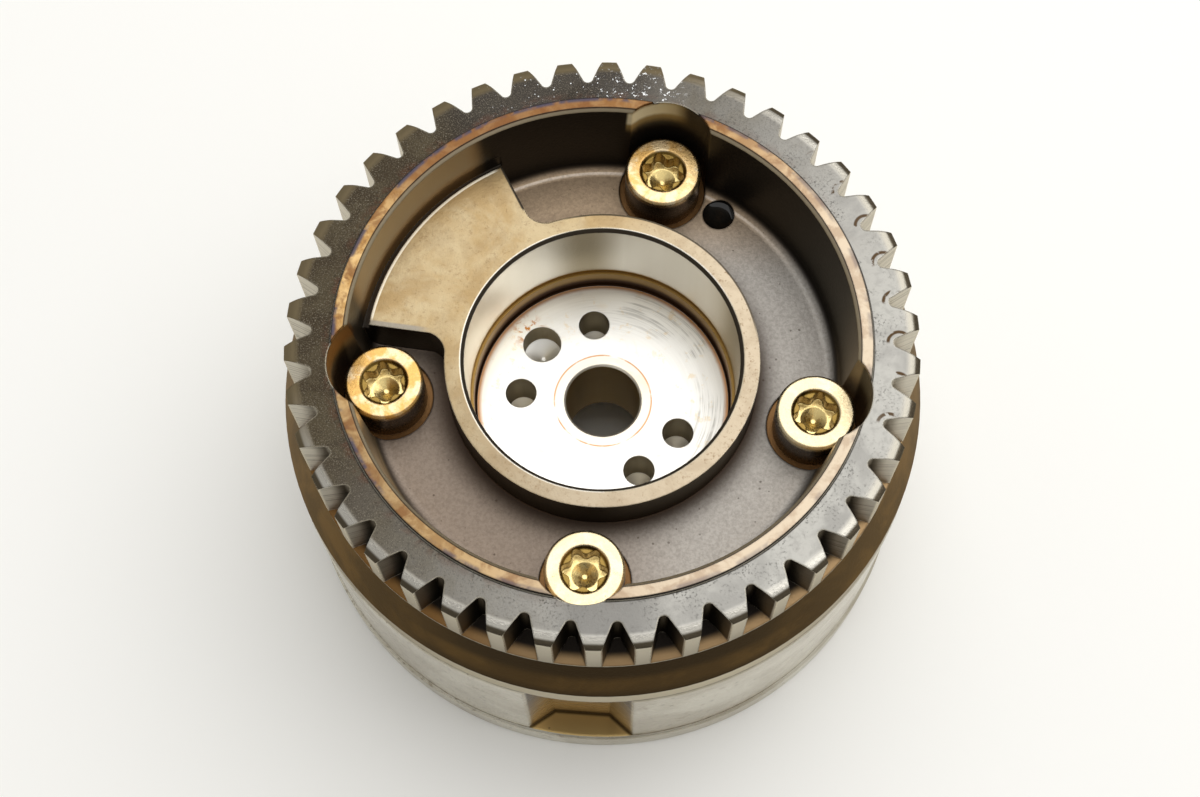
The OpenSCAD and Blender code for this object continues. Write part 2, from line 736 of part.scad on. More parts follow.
// Level section of a coil's wire: the wire's round section drawn out along the turn
module wire_section(pitch) {
    steps = 4;
    reach = coil_wire_r / pitch * 360;
    function half(t) = coil_wire_r * sqrt(max(0, 1 - t * t));
    polygon(concat(
        [for (i = [-steps : steps]) at(coil_r + half(i / steps), reach * i / steps)],
        [for (i = [steps - 1 : -1 : 1 - steps]) at(coil_r - half(i / steps), reach * i / steps)]
    ));
}

module lock_pin_spring() {
    height = coil_top - coil_base;
    color([0.62, 0.63, 0.65]) translate(at(pin_circle_r, pin_az)) translate([0, 0, coil_base]) {
        linear_extrude(height, twist = coil_turns * 360, slices = round(coil_turns * 16), $fn = 12) {
            wire_section(height / coil_turns);
        }
    }
}

sprocket();
housing();
front_plate();
clamp_screws();
vane_rotor();
vane_seal(0);  // vane_seal_1
vane_seal(1);  // vane_seal_2
vane_seal(2);  // vane_seal_3
vane_seal(3);  // vane_seal_4
vane_leaf(0);  // vane_leaf_1
vane_leaf(1);  // vane_leaf_2
vane_leaf(2);  // vane_leaf_3
vane_leaf(3);  // vane_leaf_4
shoe_seal(0);  // shoe_seal_1
shoe_seal(1);  // shoe_seal_2
shoe_seal(2);  // shoe_seal_3
shoe_seal(3);  // shoe_seal_4
shoe_leaf(0);  // shoe_leaf_1
shoe_leaf(1);  // shoe_leaf_2
shoe_leaf(2);  // shoe_leaf_3
shoe_leaf(3);  // shoe_leaf_4
lock_pin();
lock_pin_spring();
lock_pin_seat();
lock_pin_bush();
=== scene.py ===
import math
import bmesh
import bpy
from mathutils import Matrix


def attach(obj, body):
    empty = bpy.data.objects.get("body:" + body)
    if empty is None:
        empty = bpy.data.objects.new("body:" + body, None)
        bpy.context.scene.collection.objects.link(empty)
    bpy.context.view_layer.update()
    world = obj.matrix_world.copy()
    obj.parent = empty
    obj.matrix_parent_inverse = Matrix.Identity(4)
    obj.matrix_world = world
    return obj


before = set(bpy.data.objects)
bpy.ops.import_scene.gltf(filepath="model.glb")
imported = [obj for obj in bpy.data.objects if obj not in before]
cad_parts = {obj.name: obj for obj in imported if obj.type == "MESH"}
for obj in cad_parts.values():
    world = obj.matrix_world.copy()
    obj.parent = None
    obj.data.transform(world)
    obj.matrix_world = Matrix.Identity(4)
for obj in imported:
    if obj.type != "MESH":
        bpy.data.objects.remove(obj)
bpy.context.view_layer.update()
scene = bpy.context.scene
scene.view_settings.view_transform = "Standard"
mm = 0.001
print("frame loaded:", len(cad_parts), "nodes")


def srgb(r, g, b):
    # 0-255 colour to Blender's linear colour
    parts = []
    for value in (r, g, b):
        v = value / 255
        parts.append(v / 12.92 if v <= 0.04045 else ((v + 0.055) / 1.055) ** 2.4)
    return (parts[0], parts[1], parts[2], 1.0)


# small helpers to write node trees

def feed(tree, value, socket):
    if isinstance(value, bpy.types.NodeSocket):
        tree.links.new(value, socket)
    else:
        socket.default_value = value


def addNode(tree, kind, inputs=None, **settings):
    node = tree.nodes.new(kind)
    for key, value in settings.items():
        setattr(node, key, value)
    for key, value in (inputs or {}).items():
        feed(tree, value, node.inputs[key])
    return node


def calc(tree, operation, a, b=0.0):
    return addNode(tree, "ShaderNodeMath", {0: a, 1: b}, operation=operation).outputs[0]


def times(tree, *values):
    result = values[0]
    for value in values[1:]:
        result = calc(tree, "MULTIPLY", result, value)
    return result


def most(tree, *values):
    result = values[0]
    for value in values[1:]:
        result = calc(tree, "MAXIMUM", result, value)
    return result


def blendColor(tree, mask, a, b):
    node = addNode(tree, "ShaderNodeMix", {0: mask, 6: a, 7: b}, data_type="RGBA", clamp_factor=True)
    return node.outputs[2]


def blendValue(tree, mask, a, b):
    node = addNode(tree, "ShaderNodeMix", {0: mask, 2: a, 3: b}, data_type="FLOAT", clamp_factor=True)
    return node.outputs[0]


def rise(tree, value, low, high, start=0.0, end=1.0):
    # smooth step from start at low to end at high
    limits = {"Value": value, "From Min": low, "From Max": high, "To Min": start, "To Max": end}
    return addNode(tree, "ShaderNodeMapRange", limits, interpolation_type="SMOOTHSTEP").outputs["Result"]


def newGroup(name, inputs, outputs):
    tree = bpy.data.node_groups.new(name, "ShaderNodeTree")
    for label, kind, value in inputs:
        socket = tree.interface.new_socket(label, in_out="INPUT", socket_type=kind)
        if value is not None:
            socket.default_value = value
    for label, kind in outputs:
        tree.interface.new_socket(label, in_out="OUTPUT", socket_type=kind)
    return tree, tree.nodes.new("NodeGroupInput"), tree.nodes.new("NodeGroupOutput")


def useGroup(tree, group, **values):
    node = tree.nodes.new("ShaderNodeGroup")
    node.node_tree = group
    for key, value in values.items():
        feed(tree, value, node.inputs[key])
    return node


# node groups that the materials share

def makeTurnedPlace():
    # place, radius and height in mm, azimuth in degrees clockwise from +Y, and how far the surface looks up
    floats = ("Radius", "Height", "Azimuth", "Up", "X", "Y")
    tree, _, out = newGroup("turnedPlace", [], [(label, "NodeSocketFloat") for label in floats] + [
        ("Place", "NodeSocketVector"), ("Plan", "NodeSocketVector")])
    coords = addNode(tree, "ShaderNodeTexCoord")
    toMm = (1 / mm, 1 / mm, 1 / mm)
    place = addNode(tree, "ShaderNodeVectorMath", {0: coords.outputs["Object"], 1: toMm},
                    operation="MULTIPLY")
    x, y, z = addNode(tree, "ShaderNodeSeparateXYZ", {0: place.outputs[0]}).outputs
    normal = addNode(tree, "ShaderNodeSeparateXYZ", {0: coords.outputs["Normal"]})
    results = {
        "Radius": calc(tree, "SQRT", calc(tree, "ADD", times(tree, x, x), times(tree, y, y))),
        "Height": z,
        "Azimuth": calc(tree, "DEGREES", calc(tree, "ARCTAN2", x, y)),
        "Up": normal.outputs[2],
        "X": x,
        "Y": y,
        "Place": place.outputs[0],
        "Plan": addNode(tree, "ShaderNodeCombineXYZ", {0: x, 1: y}).outputs[0],
    }
    for label, socket in results.items():
        tree.links.new(socket, out.inputs[label])
    return tree


def makeSoftBand():
    # 1 between Low and High, with soft ends
    tree, source, out = newGroup("softBand", [
        ("Value", "NodeSocketFloat", 0), ("Low", "NodeSocketFloat", 0),
        ("High", "NodeSocketFloat", 1), ("Soft", "NodeSocketFloat", 0.1)], [("Mask", "NodeSocketFloat")])
    value, low, high, soft = (source.outputs[i] for i in range(4))
    entering = rise(tree, value, calc(tree, "SUBTRACT", low, soft), calc(tree, "ADD", low, soft))
    leaving = rise(tree, value, calc(tree, "SUBTRACT", high, soft), calc(tree, "ADD", high, soft), 1.0, 0.0)
    tree.links.new(times(tree, entering, leaving), out.inputs["Mask"])
    return tree


def makeCloud():
    # soft patches of stain
    tree, source, out = newGroup("stainCloud", [
        ("Place", "NodeSocketVector", None), ("Scale", "NodeSocketFloat", 0.1),
        ("Low", "NodeSocketFloat", 0.45), ("High", "NodeSocketFloat", 0.6),
        ("Seed", "NodeSocketFloat", 0.0)], [("Mask", "NodeSocketFloat")])
    given = source.outputs
    shifted = addNode(tree, "ShaderNodeVectorMath", {0: given["Place"], 1: given["Seed"]}, operation="ADD")
    noise = addNode(tree, "ShaderNodeTexNoise", {"Vector": shifted.outputs[0], "Scale": given["Scale"],
                                                 "Detail": 4.0, "Roughness": 0.6, "Distortion": 0.4})
    mask = rise(tree, noise.outputs["Fac"], given["Low"], given["High"])
    tree.links.new(mask, out.inputs["Mask"])
    return tree


def makeSpeck():
    # scattered round pits or crumbs of uneven size
    tree, source, out = newGroup("pitSpeck", [
        ("Place", "NodeSocketVector", None), ("Scale", "NodeSocketFloat", 1.0),
        ("Size", "NodeSocketFloat", 0.25), ("Share", "NodeSocketFloat", 0.4)], [("Mask", "NodeSocketFloat")])
    given = source.outputs
    wobble = addNode(tree, "ShaderNodeTexNoise", {"Vector": given["Place"], "Scale": 1.7, "Detail": 2.0})
    wobbleShare = 0.15
    moved = addNode(tree, "ShaderNodeMix", {0: wobbleShare, 4: given["Place"], 5: wobble.outputs["Color"]},
                    data_type="VECTOR")
    cells = addNode(tree, "ShaderNodeTexVoronoi", {"Vector": moved.outputs[1], "Scale": given["Scale"]})
    chance = addNode(tree, "ShaderNodeSeparateColor", {0: cells.outputs["Color"]})
    chosen = calc(tree, "LESS_THAN", chance.outputs[0], given["Share"])
    smallest, softFrom = 0.35, 0.55
    size = times(tree, given["Size"], calc(tree, "ADD", chance.outputs[1], smallest))
    dot = rise(tree, cells.outputs["Distance"], times(tree, size, softFrom), size, 1.0, 0.0)
    tree.links.new(times(tree, dot, chosen), out.inputs["Mask"])
    return tree


def makeGrit():
    # fine blotches with ragged edges
    tree, source, out = newGroup("grit", [
        ("Place", "NodeSocketVector", None), ("Scale", "NodeSocketFloat", 2.0),
        ("Low", "NodeSocketFloat", 0.55), ("High", "NodeSocketFloat", 0.65)], [("Mask", "NodeSocketFloat")])
    given = source.outputs
    noise = addNode(tree, "ShaderNodeTexNoise", {"Vector": given["Place"], "Scale": given["Scale"],
                                                 "Detail": 5.0, "Roughness": 0.72})
    mask = rise(tree, noise.outputs["Fac"], given["Low"], given["High"])
    tree.links.new(mask, out.inputs["Mask"])
    return tree


def makeTurning():
    # fine tool marks round the axis: a height that changes along one measure and hardly around
    tree, source, out = newGroup("turningMarks", [
        ("Along", "NodeSocketFloat", 0.0), ("Pitch", "NodeSocketFloat", 0.4),
        ("Around", "NodeSocketFloat", 0.0)], [("Height", "NodeSocketFloat")])
    given = source.outputs
    stretch = 0.02
    turns = calc(tree, "DIVIDE", given["Along"], given["Pitch"])
    lines = addNode(tree, "ShaderNodeCombineXYZ", {0: turns, 1: times(tree, given["Around"], stretch)})
    noise = addNode(tree, "ShaderNodeTexNoise", {"Vector": lines.outputs[0], "Scale": 1.0,
                                                 "Detail": 3.0, "Roughness": 0.7})
    tree.links.new(noise.outputs["Fac"], out.inputs["Height"])
    return tree


def makeWornEdge():
    # where the smoothed normal leaves the true one, an edge is near; noise breaks the line
    tree, source, out = newGroup("wornEdge", [
        ("Place", "NodeSocketVector", None), ("Smoothed", "NodeSocketVector", None),
        ("Reach", "NodeSocketFloat", 0.05)], [("Mask", "NodeSocketFloat")])
    given = source.outputs
    trueNormal = addNode(tree, "ShaderNodeNewGeometry").outputs["Normal"]
    dot = addNode(tree, "ShaderNodeVectorMath", {0: trueNormal, 1: given["Smoothed"]},
                  operation="DOT_PRODUCT")
    away = calc(tree, "SUBTRACT", 1.0, dot.outputs["Value"])
    noise = addNode(tree, "ShaderNodeTexNoise", {"Vector": given["Place"], "Scale": 0.9, "Detail": 4.0})
    leastNeed, softFrom = 0.4, 0.4
    need = times(tree, given["Reach"], calc(tree, "ADD", noise.outputs["Fac"], leastNeed))
    tree.links.new(rise(tree, away, times(tree, need, softFrom), need), out.inputs["Mask"])
    return tree


turnedPlace = makeTurnedPlace()
softBand = makeSoftBand()
stainCloud = makeCloud()
pitSpeck = makeSpeck()
grit = makeGrit()
turningMarks = makeTurning()
wornEdge = makeWornEdge()
print("shared node groups built")


# ways to use the groups in a material

def band(tree, value, low, high, soft=0.08):
    return useGroup(tree, softBand, Value=value, Low=low, High=high, Soft=soft).outputs["Mask"]


def cloud(tree, place, scale, low, high, seed):
    return useGroup(tree, stainCloud, Place=place, Scale=scale, Low=low, High=high, Seed=seed).outputs["Mask"]


def specks(tree, place, scale, size, share):
    return useGroup(tree, pitSpeck, Place=place, Scale=scale, Size=size, Share=share).outputs["Mask"]


def blotches(tree, place, scale, low, high):
    return useGroup(tree, grit, Place=place, Scale=scale, Low=low, High=high).outputs["Mask"]


def toolMarks(tree, at, measure, pitch):
    node = useGroup(tree, turningMarks, Along=at[measure], Pitch=pitch, Around=at["azimuth"])
    return node.outputs["Height"]


def distance(tree, vector, spot):
    node = addNode(tree, "ShaderNodeVectorMath", {0: vector, 1: spot}, operation="DISTANCE")
    return node.outputs["Value"]


def along(tree, at, way):
    # how far a point lies along a direction in plan
    return calc(tree, "ADD", times(tree, at["x"], way[0]), times(tree, at["y"], way[1]))


def newMaterial(name):
    material = bpy.data.materials.new(name)
    material.use_nodes = True
    tree = material.node_tree
    at = {socket.name.lower(): socket for socket in useGroup(tree, turnedPlace).outputs}
    return material, tree, tree.nodes["Principled BSDF"], at


def addMasks(tree, at, masks):
    # each mask is the product of its parts, and joins the measures under its own name:
    # on and off take other masks as they are or turned round, any takes the strongest of several,
    # rises and bands read a measure, and blends run between two values along a mask
    for name, parts in masks.items():
        values = [at[key] for key in parts.get("on", ())]
        values += [calc(tree, "SUBTRACT", 1.0, at[key]) for key in parts.get("off", ())]
        if "any" in parts:
            values.append(most(tree, *(at[key] for key in parts["any"])))
        values += [rise(tree, at[key], *limits) for key, *limits in parts.get("rises", ())]
        values += [band(tree, at[key], *limits) for key, *limits in parts.get("bands", ())]
        values += [blendValue(tree, at[key], *ends) for key, *ends in parts.get("blends", ())]
        for kind, draw in (("cloud", cloud), ("grit", blotches), ("specks", specks)):
            if kind in parts:
                values.append(draw(tree, at[parts.get("space", "place")], *parts[kind]))
        if "share" in parts:
            values.append(parts["share"])
        at[name] = times(tree, *values)
        if "power" in parts:
            key, *ends = parts["power"]
            at[name] = calc(tree, "POWER", at[name], blendValue(tree, at[key], *ends))


def addTones(tree, at, look):
    # each tone lays colours over its first one, every colour where its mask lies
    colors = dict(look["colors"])
    for name, (base, layers) in look["tones"].items():
        color = colors[base]
        for mask, tint in layers:
            color = blendColor(tree, at[mask], color, colors[tint])
        colors[name] = color
    return colors


def roundedEdges(tree, radius):
    return addNode(tree, "ShaderNodeBevel", {"Radius": radius}, samples=6).outputs[0]


def bumped(tree, height, bump, normal):
    strength, depth = bump
    inputs = {"Strength": strength, "Distance": depth, "Height": height, "Normal": normal}
    return addNode(tree, "ShaderNodeBump", inputs).outputs[0]


# sprocket: oily dark face, worn teeth, straw-coloured ring and hub

wipedWay = (0.87, -0.5)      # direction in plan from the dirty to the wiped side

sprocketLook = {
    "topScrew": (9.15, 28.67, 0), "leftScrew": (-29.95, -2.99, 0),
    "toothStep": 360 / 42, "toothPlace": 2.3, "rootCentre": 39.65,
    "sectorStart": -80.7, "sectorEnd": -25.2,
    "streakPitch": 0.4, "wrinkle": {"Scale": 1.1, "Detail": 3.0, "Distortion": 1.6},
    "edge": 0.35 * mm, "wear": 0.06, "bump": (0.3, 0.14 * mm),
    "wallFinish": (0.32, 0.7), "glintFinish": (0.15, 1.0), "wornRough": 0.24,
    "coatRough": 0.06, "warmEdge": (0.9, 0.84, 0.72, 1),
    "colors": {
        "wall": srgb(36, 31, 27), "wallFarLit": srgb(46, 40, 34), "wallTopLit": srgb(172, 157, 132),
        "wallNearLit": srgb(226, 200, 160), "wallSectorReflection": srgb(174, 136, 86),
        "reliefGold": srgb(150, 124, 72), "reliefHighlight": srgb(240, 228, 192), "reliefBrown": srgb(108, 76, 43),
        "floor": srgb(134, 121, 109), "floorFar": srgb(172, 150, 124), "floorRight": srgb(162, 157, 150),
        # floorShadeAndSpeck is painted shade at the feet of the hub and wall, and also the colour of the
        # floor's grain and specks
        "floorShadeAndSpeck": srgb(56, 43, 34), "floorHighlight": srgb(214, 200, 184), "seat": srgb(108, 78, 46),
        "hub": srgb(164, 140, 100), "hubPale": srgb(178, 160, 126), "hubBare": srgb(180, 165, 142),
        "hubGrey": srgb(132, 120, 100), "hubStain": srgb(118, 94, 64),
        "sectorBevelSheen": srgb(146, 138, 124), "sectorHighlight": srgb(252, 244, 224),
        "rim": srgb(154, 118, 70), "rimPale": srgb(192, 160, 110), "rimBare": srgb(180, 165, 144),
        "rimBrown": srgb(108, 72, 44), "rimShade": srgb(116, 95, 70), "rimBlue": srgb(62, 62, 76),
        "chamfer": srgb(170, 156, 130), "line": srgb(20, 16, 14), "edge": srgb(222, 212, 188),
        "faceDark": srgb(56, 47, 34), "faceBare": srgb(150, 148, 142), "faceRust": srgb(76, 48, 34),
        "faceOlive": srgb(82, 74, 56), "mottle": srgb(112, 110, 106), "pit": srgb(22, 18, 15),
        "fleck": srgb(138, 130, 114), "glint": srgb(236, 238, 238), "oilEdge": srgb(62, 44, 22),
        "crownOlive": srgb(122, 109, 84), "crownBareLit": srgb(196, 192, 182), "crownRight": srgb(160, 155, 143),
        "crownEndShade": srgb(84, 76, 62), "tip": srgb(198, 193, 180),
        "flank": srgb(204, 200, 190), "flankDark": srgb(56, 49, 42), "root": srgb(24, 20, 17),
        "gapFloor": srgb(146, 120, 86), "gapOrange": srgb(128, 94, 54),
        "cone": srgb(48, 34, 16), "coneLit": srgb(112, 84, 42),
        "land": srgb(188, 182, 166), "landShade": srgb(122, 112, 96),
        "bore": srgb(252, 249, 240), "boreBandShade": srgb(184, 174, 152), "boreFoot": srgb(150, 120, 64),
        "boreShade": srgb(126, 117, 96), "boreEdge": srgb(54, 47, 38),
    },
    "masks": {
        "level": {"rises": [("up", 0.75, 0.93)]},
        "upright": {"off": ["level"]},
        "low": {"rises": [("y", 8.0, -22.0)]},              # towards the camera
        "far": {"rises": [("y", 14.0, 27.0)]},
        "bare": {"rises": [("across", -29.0, 36.0)]},       # wiped down to bare steel
        "dirty": {"off": ["bare"]},
        "outer": {"rises": [("radius", 38.3, 38.8)]},
        # where the surfaces lie
        "wall": {"on": ["upright"], "rises": [("height", 37.0, 38.0), ("radius", 32.0, 32.6),
                                              ("radius", 35.2, 34.8)]},
        # painted light on the pocket wall: lighter on the near side, a painted reflection of the raised
        # sector on the wall behind it, and paler towards that wall's top
        "wallNear": {"on": ["wall", "low"]},
        "wallLeft": {"on": ["wall"], "bands": [("azimuth", -77, -31, 3)]},
        "wallTop": {"on": ["wallLeft"], "rises": [("height", 43.8, 46.4)]},
        "leftRelief": {"on": ["upright"], "rises": [("toLeftScrew", 7.4, 7.0), ("height", 45.5, 48.0),
                                                    ("height", 50.6, 49.8)]},
        "topRelief": {"on": ["upright"], "rises": [("toTopScrew", 7.4, 7.0), ("height", 45.2, 47.4),
                                                   ("x", 13.2, 10.8)]},
        "floor": {"rises": [("up", 0.45, 0.85)], "bands": [("height", 36.45, 38.2, 0.12)]},
        "seat": {"on": ["level"], "bands": [("height", 35.0, 36.42, 0.04)]},
        "hub": {"on": ["level"], "bands": [("height", 43.1, 44)]},
        # painted sheen: a grey band along the sector's lower edge, standing for a bevel that the shape lacks
        "sectorBevel": {"on": ["hub"], "bands": [("fromStart", -0.5, 0.75, 0.15)],
                        "rises": [("x", -23.0, -26.0)]},
        # painted highlight: a thin bright line along the sector's outer arc
        "sectorHighlight": {"on": ["hub"], "bands": [("radius", 32.2, 32.8, 0.06), ("azimuth", -79, -27, 1)]},
        # painted shadow lines: dark along the end of the raised sector and along the far outer edge of the
        # hub
        "sectorEnd": {"rises": [("fromEnd", 0.4, 0.2), ("radius", 24.6, 25.4)],
                      "bands": [("azimuth", -40, -20, 1)]},
        "hubSide": {"bands": [("radius", 21.45, 21.9, 0.06), ("azimuth", -12, 80, 6)], "share": 0.8},
        "outline": {"on": ["hub"], "any": ["sectorEnd", "hubSide"]},
        "rim": {"bands": [("height", 50.45, 60), ("radius", 33.9, 36.4)]},
        "chamfer": {"bands": [("radius", 33.95, 34.5, 0.05)], "rises": [("height", 50.3, 50.42)]},
        "flank": {"on": ["outer", "upright"], "bands": [("height", 40.5, 50.35)]},
        "gapFloor": {"on": ["outer"], "bands": [("height", 40.6, 42.4)], "rises": [("up", 0.6, 0.9)]},
        "cone": {"rises": [("radius", 42.4, 42.52)], "bands": [("height", 33.6, 40.5)]},
        "land": {"on": ["outer"], "rises": [("height", 33.66, 33.58)]},
        "bore": {"rises": [("radius", 19.7, 19.4), ("height", 29.5, 30.0)]},
        "boreEdge": {"bands": [("radius", 18.8, 19.46, 0.05)], "rises": [("height", 42.85, 42.95)]},
        "face": {"on": ["level"], "bands": [("height", 49.9, 50.7)], "rises": [("radius", 36.0, 36.3)]},
        "crown": {"rises": [("radius", 40.3, 41.3), ("height", 49.3, 49.6), ("up", 0.4, 0.6)]},
        "outerLine": {"bands": [("radius", 36.08, 36.42, 0.06)], "rises": [("height", 50.1, 50.3)]},
        "innerLine": {"bands": [("radius", 34.52, 34.66, 0.04)], "rises": [("height", 50.4, 50.6)],
                      "share": 0.8},
        "seam": {"on": ["land"], "rises": [("height", 30.3, 30.15)], "share": 0.85},
        "lines": {"any": ["outerLine", "innerLine", "seam"]},
        # how colours change on a surface: a cloud has scale, low, high and seed,
        # a grit scale, low and high, and specks scale, size and share
        "grain": {"cloud": (2.4, 0.3, 0.75, 9.0)},
        "smudge": {"cloud": (0.12, 0.4, 0.64, 5.0)},
        # painted highlight: a cream stripe along the upper part of the top screw's relief wall
        "reliefHighlightBand": {"bands": [("height", 47.6, 50.2, 0.5)], "rises": [("x", 15.0, 6.0)]},
        "floorSide": {"rises": [("x", -6.0, 14.0)]},
        # painted shade: the pocket floor darkens towards the foot of the hub, more on the oily side, and up
        # the foot of the wall except on the near side
        "nearHub": {"rises": [("radius", 26.8, 21.5)], "power": ("bare", 1.0, 2.2)},
        "nearWall": {"rises": [("height", 36.62, 37.7)], "blends": [("low", 0.8, 0.1)]},
        "floorPaintedShade": {"any": ["nearHub", "nearWall"]},
        # painted highlight: a pale line along the foot of the far wall's fillet
        "filletHighlight": {"on": ["far"], "bands": [("height", 36.63, 36.74, 0.03)], "rises": [("radius", 30.0, 31.0)],
                  "share": 0.8},
        "hubWiped": {"rises": [("across", -14.0, 10.0)]},
        "hubLow": {"on": ["low", "dirty"], "share": 0.8},
        "hubCloud": {"cloud": (0.3, 0.46, 0.62, 27.0), "share": 0.18},
        "hubRight": {"rises": [("x", 4.0, 20.0)]},
        "hubSpeck": {"grit": (1.6, 0.54, 0.68), "blends": [("hubRight", 0.4, 0.75)]},
        "rimCloud": {"cloud": (0.4, 0.42, 0.62, 8.0)},
        "rimWiped": {"rises": [("across", -8.0, 26.0)]},
        # painted shade: the ring darker on the near, oily side
        "rimNearShade": {"on": ["low", "dirty"], "share": 0.8},
        "rimFar": {"on": ["far", "dirty"], "share": 0.85},
        "rimStain": {"cloud": (0.26, 0.47, 0.6, 14.0), "blends": [("bare", 0.75, 0.3)]},
        "rimTint": {"cloud": (0.2, 0.47, 0.6, 21.0), "rises": [("radius", 35.35, 35.85)],
                    "blends": [("bare", 0.9, 0.4)]},
        "faceCloud": {"on": ["dirty"], "cloud": (0.17, 0.42, 0.62, 55.0), "share": 0.4},
        "faceFar": {"bands": [("azimuth", -34, 12, 6)], "share": 0.7},
        "faceNear": {"on": ["low"], "rises": [("aside", 9.0, 3.0)], "share": 0.9},
        "faceRim": {"on": ["dirty"], "cloud": (0.5, 0.42, 0.6, 4.0), "rises": [("radius", 37.9, 36.5)],
                    "share": 0.65},
        "faceRough": {"blends": [("bare", 0.42, 0.3)]},
        "faceMetal": {"blends": [("bare", 0.75, 1.0)]},
        # tooth crowns: bare steel on the wiped side and painted bright as a highlight on the near side, with
        # a painted dark band of shade at their outer end
        "crownWiped": {"rises": [("across", -12.0, 10.0)]},
        "crownNear": {"rises": [("y", -6.0, -22.0)]},
        "crownBareLit": {"any": ["crownWiped", "crownNear"]},
        "crownSide": {"rises": [("x", 26.0, 38.0)]},
        "crownEndShade": {"rises": [("radius", 41.55, 41.95)]},
        "crownRough": {"blends": [("crownBareLit", 0.5, 0.22)]},
        # painted shade: the near flanks darker, the near gaps dark towards their roots and every gap floor
        # dark where it runs deep; the dark streaks are tool marks
        "flankShade": {"rises": [("y", -14.0, -38.0)]},
        "flankStreaks": {"rises": [("streaks", 0.48, 0.7)], "share": 0.7},
        "flankRoot": {"on": ["low"], "rises": [("radius", 41.2, 39.4)], "share": 0.85},
        "flankTip": {"rises": [("radius", 42.15, 42.35)]},
        "gapLeft": {"rises": [("x", -8.0, -24.0)]},
        "gapDeep": {"rises": [("radius", 41.9, 40.6)]},
        # painted light: the dark cone lighter towards its left and right sides and along a band half way up,
        # broken by smudges
        "coneSides": {"rises": [("aside", 14.0, 44.0)]},
        "coneMiddle": {"bands": [("height", 34.4, 37.6, 1.0)], "share": 0.5},
        "conePaintedLight": {"any": ["coneSides", "coneMiddle"], "blends": [("smudge", 0.5, 1.0)]},
        # painted shade: the land darker towards its left and right sides
        "landShadedSides": {"rises": [("aside", 16.0, 40.0)]},
        # painted reflections in the bore: darker bands at the far side and on the right, soft darker patches,
        # and a painted shade band on the right
        "boreFar": {"bands": [("azimuth", -18, 5, 10)]},
        "boreRight": {"rises": [("azimuth", 50.0, 78.0)]},
        "boreCloud": {"cloud": (0.06, 0.36, 0.66, 52.0), "space": "plan", "share": 0.2},
        "boreReflectionShade": {"any": ["boreFar", "boreRight", "boreCloud"]},
        "boreShade": {"bands": [("azimuth", 72, 104, 12)]},
        "boreFoot": {"rises": [("height", 30.9, 30.4)]},
        # pits, crumbs, oil, worn edges, painted glints and painted edge highlights
        "flatFace": {"on": ["face"], "off": ["crown"]},
        "patches": {"cloud": (0.3, 0.42, 0.6, 17.0)},
        "nearRim": {"rises": [("radius", 38.6, 36.4)]},
        "coarsePits": {"on": ["patches"], "grit": (2.6, 0.55, 0.62), "blends": [("nearRim", 0.4, 1.0)]},
        "finePits": {"on": ["dirty"], "grit": (6.0, 0.56, 0.64), "share": 0.8},
        "hubPits": {"on": ["hub"], "share": 0.12},
        "pitArea": {"any": ["flatFace", "hubPits"]},
        "pits": {"on": ["pitArea"], "any": ["coarsePits", "finePits"]},
        "pitDark": {"on": ["pits"], "share": 0.75},
        "flecks": {"on": ["flatFace", "dirty"], "grit": (5.2, 0.53, 0.63), "blends": [("patches", 0.4, 0.8)]},
        "mottleWide": {"cloud": (0.14, 0.42, 0.62, 30.0)},
        "mottleFine": {"cloud": (0.9, 0.45, 0.7, 33.0), "share": 0.6},
        "mottled": {"on": ["flatFace", "bare"], "any": ["mottleWide", "mottleFine"], "share": 0.55},
        "oilEdge": {"on": ["flatFace"], "bands": [("toRoot", 1.3, 1.75, 0.1), ("azimuth", 48, 112, 6)],
                    "rises": [("sideways", 0.3, -0.2)], "cloud": (0.35, 0.47, 0.53, 40.0), "share": 0.95},
        "floorGrain": {"on": ["grain", "floor"], "share": 0.3},
        "floorSpecks": {"on": ["floor"], "specks": (1.1, 0.16, 0.3), "share": 0.6},
        "wetArea": {"on": ["flatFace"], "bands": [("azimuth", -30, 70, 12)]},
        # painted glints: small white highlights of oil drops and ripples on the far face
        "drops": {"specks": (2.2, 0.19, 0.85), "cloud": (0.4, 0.4, 0.55, 90.0),
                  "bands": [("azimuth", -22, 10, 8)]},
        "waves": {"grit": (1.3, 0.59, 0.63), "bands": [("azimuth", 1, 17, 3)]},
        "glints": {"on": ["face"], "any": ["drops", "waves"]},
        "glintShine": {"on": ["glints"], "share": 0.8},
        "grainBump": {"on": ["grain"], "share": 0.25},
        "wrinkleBump": {"on": ["wrinkle", "wetArea"], "share": 0.8},
        # edges rubbed bright by wear and painted lighter as a highlight
        "wornArea": {"any": ["flank", "hub", "flatFace", "land"]},
        "darkEdges": {"any": ["boreEdge", "outline"]},
        "wornEdges": {"on": ["worn", "wornArea"], "off": ["darkEdges"]},
        "edgeWearAndHighlight": {"on": ["wornEdges"], "blends": [("hub", 0.55, 0.5)]},
        "oilFilm": {"on": ["wetArea"], "cloud": (0.09, 0.3, 0.5, 4.0), "share": 0.25},
    },
    "tones": {
        # painted light: the wall a little lighter on the far side
        "wallTone": ("wall", [("far", "wallFarLit")]),
        "reliefTone": ("reliefGold", [("reliefHighlightBand", "reliefHighlight")]),
        "floorTone": ("floor", [("floorSide", "floorRight"), ("far", "floorFar"), ("floorPaintedShade", "floorShadeAndSpeck"),
                                ("filletHighlight", "floorHighlight")]),
        "hubTone": ("hub", [("smudge", "hubPale"), ("hubWiped", "hubBare"), ("hubLow", "hubGrey"),
                            ("hubCloud", "hubStain"), ("hubSpeck", "hubStain")]),
        "rimTone": ("rim", [("rimCloud", "rimPale"), ("rimWiped", "rimBare"), ("rimNearShade", "rimShade"),
